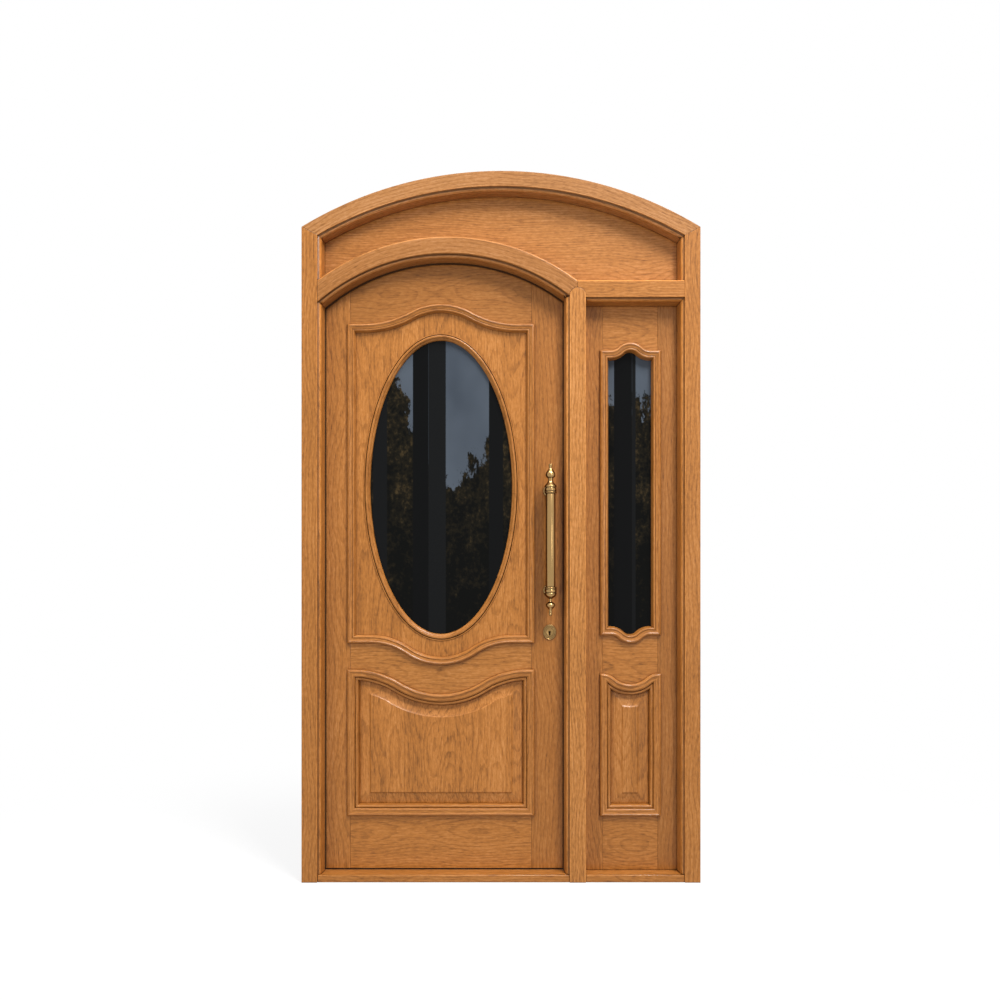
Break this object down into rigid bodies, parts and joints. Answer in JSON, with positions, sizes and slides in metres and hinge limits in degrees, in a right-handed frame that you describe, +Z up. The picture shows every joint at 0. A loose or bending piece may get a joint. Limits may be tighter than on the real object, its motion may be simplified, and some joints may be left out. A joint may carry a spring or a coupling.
{
  "type": "arched wooden front door set",
  "caption": "Varnished oak front door in an arched frame: inward-opening leaf with an oval window, fixed sidelight, arched transom panel, brass pull and keyhole.",
  "frame": {"origin": "on the hinge jamb's wall face, at floor level and mid depth", "axes": "+X from the hinge jamb to the sidelight, +Y from outside to inside, +Z up"},
  "size_m": [1.477, 0.1425, 2.635],
  "materials": {
    "oak_boards": "satin varnish",
    "oak_mouldings": "satin varnish",
    "window_glass": "clear",
    "brass_fittings": "satin",
    "steel_fittings": "satin"
  },
  "bodies": {
    "frame": {"door_arch": "oak_boards", "door_sill": "oak_boards", "frame_hinge_halves": "steel_fittings", "head_arch": "oak_boards", "hinge_jamb": "oak_boards", "mullion": "oak_boards", "sidelight_bottom_rail": "oak_boards", "sidelight_glass": "window_glass", "sidelight_glazing_moulding_inside": "oak_mouldings", "sidelight_glazing_moulding_outside": "oak_mouldings", "sidelight_head_rail": "oak_boards", "sidelight_jamb": "oak_boards", "sidelight_left_stile": "oak_boards", "sidelight_middle_rail": "oak_boards", "sidelight_panel": "oak_boards", "sidelight_panel_moulding_inside": "oak_mouldings", "sidelight_panel_moulding_outside": "oak_mouldings", "sidelight_right_stile": "oak_boards", "sidelight_sill": "oak_boards", "sidelight_top_rail": "oak_boards", "strike_plate": "steel_fittings", "transom_bead": "oak_mouldings", "transom_panel": "oak_boards"},
    "leaf": {"escutcheon_inside": "brass_fittings", "escutcheon_outside": "brass_fittings", "leaf_bottom_rail": "oak_boards", "leaf_hinge_halves": "steel_fittings", "leaf_hinge_stile": "oak_boards", "leaf_lock_stile": "oak_boards", "leaf_lower_moulding_inside": "oak_mouldings", "leaf_lower_moulding_outside": "oak_mouldings", "leaf_lower_panel": "oak_boards", "leaf_middle_rail": "oak_boards", "leaf_oval_bead_inside": "oak_mouldings", "leaf_oval_bead_outside": "oak_mouldings", "leaf_oval_glass": "window_glass", "leaf_oval_panel": "oak_boards", "leaf_top_rail": "oak_boards", "leaf_upper_moulding_inside": "oak_mouldings", "leaf_upper_moulding_outside": "oak_mouldings", "lock_forend": "steel_fittings", "pull_grip": "brass_fittings", "pull_inside_caps": "brass_fittings", "pull_lower_bracket": "brass_fittings", "pull_lower_finial": "brass_fittings", "pull_upper_bracket": "brass_fittings", "pull_upper_finial": "brass_fittings"}
  },
  "joints": [
    {"name": "leaf_hinge", "type": "hinge", "parent": "frame", "child": "leaf", "pos_m": [0.0615, 0.0625, 0], "axis": [0, 0, 1], "range_deg": [0, 110]}
  ]
}
